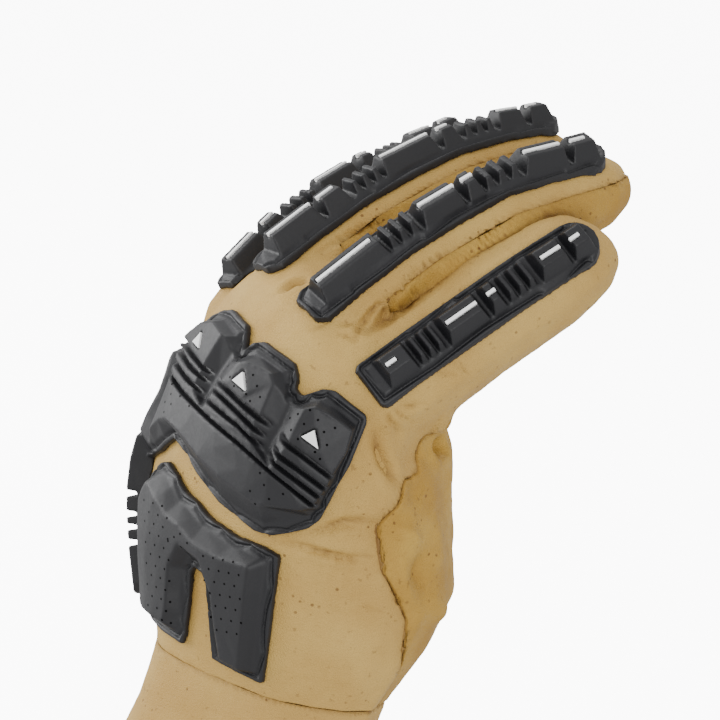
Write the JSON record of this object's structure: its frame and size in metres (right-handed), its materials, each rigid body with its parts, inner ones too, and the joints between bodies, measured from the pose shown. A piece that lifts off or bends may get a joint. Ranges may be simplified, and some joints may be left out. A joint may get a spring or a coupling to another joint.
{
  "type": "impact glove",
  "caption": "Right-hand leather work glove, half closed, with a rubber knuckle guard, a slotted hand-back guard and ribbed rubber guards on the fingers.",
  "frame": {"origin": "centre of the cuff's opening, where the hand goes in", "axes": "+Z from the cuff to the knuckles, -Y out of the back of the hand, +X towards the little finger's side"},
  "size_m": [0.117, 0.1291, 0.2121],
  "materials": {
    "tan_leather": "grain leather, pale tan, with pores and fine creases",
    "gold_leather": "grain leather, yellow gold",
    "rubber": "matt black moulded rubber",
    "white": "matt white moulded rubber"
  },
  "bodies": {
    "root": {"back_leather": "tan_leather", "palm_leather": "gold_leather", "index_finger_back": "tan_leather", "index_finger_front": "gold_leather", "middle_finger_back": "tan_leather", "middle_finger_front": "gold_leather", "ring_finger_back": "tan_leather", "ring_finger_front": "gold_leather", "pinky_finger_back": "tan_leather", "pinky_finger_front": "gold_leather", "thumb": "gold_leather", "cuff": "tan_leather", "knuckle_guard": "rubber", "middle_knuckle_triangle": "white", "ring_knuckle_triangle": "white", "pinky_knuckle_triangle": "white", "hand_back_guard": "rubber", "index_finger_guard": "rubber", "index_dash_1": "white", "index_dash_2": "white", "index_dash_3": "white", "index_dash_4": "white", "index_dash_5": "white", "index_dash_6": "white", "middle_finger_guard": "rubber", "middle_dash_1": "white", "middle_dash_2": "white", "middle_dash_3": "white", "middle_dash_4": "white", "middle_dash_5": "white", "middle_dash_6": "white", "ring_finger_guard": "rubber", "ring_dash_1": "white", "ring_dash_2": "white", "ring_dash_3": "white", "ring_dash_4": "white", "ring_dash_5": "white", "pinky_finger_guard": "rubber", "pinky_dash_1": "white", "pinky_dash_2": "white", "pinky_dash_3": "white", "pinky_dash_4": "white", "pinky_dash_5": "white"}
  },
  "joints": []
}
